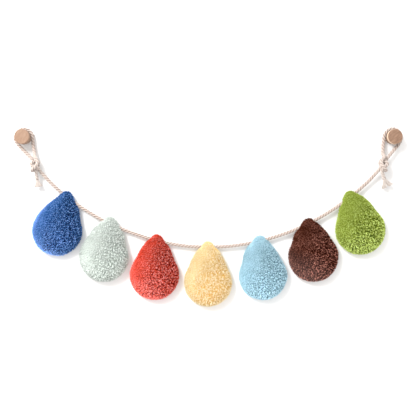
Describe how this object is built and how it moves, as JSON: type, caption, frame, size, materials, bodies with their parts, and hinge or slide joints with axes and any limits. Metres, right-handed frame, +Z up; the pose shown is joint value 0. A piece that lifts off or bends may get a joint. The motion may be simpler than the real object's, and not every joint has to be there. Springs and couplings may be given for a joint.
{
  "type": "raindrop garland on two wooden wall pegs",
  "caption": "Wall garland of plump tufted cotton raindrops in mixed colours, threaded on a twisted cotton rope that hangs in a swag from round wooden pegs.",
  "frame": {"origin": "middle of the left peg's back face, on the wall", "axes": "+X along the wall from the left peg to the right one, -Y out of the wall towards the room, +Z up"},
  "size_m": [0.8253, 0.0321, 0.3802],
  "materials": {
    "wood": "light turned wood, fine grain, waxed",
    "cotton_rope": "three-strand cream cotton rope, matt",
    "pile_blue": "short tufted cotton pile, matt royal blue",
    "pile_mint": "short tufted cotton pile, matt pale mint",
    "pile_red": "short tufted cotton pile, matt coral red",
    "pile_yellow": "short tufted cotton pile, matt butter yellow",
    "pile_sky": "short tufted cotton pile, matt sky blue",
    "pile_brown": "short tufted cotton pile, matt brown",
    "pile_green": "short tufted cotton pile, matt olive green"
  },
  "bodies": {
    "root": {"peg_left": "wood", "peg_right": "wood", "rope": "cotton_rope", "fray_left": "cotton_rope", "fray_right": "cotton_rope", "drop_blue": "pile_blue", "drop_mint": "pile_mint", "drop_red": "pile_red", "drop_yellow": "pile_yellow", "drop_sky": "pile_sky", "drop_brown": "pile_brown", "drop_green": "pile_green"}
  },
  "joints": []
}
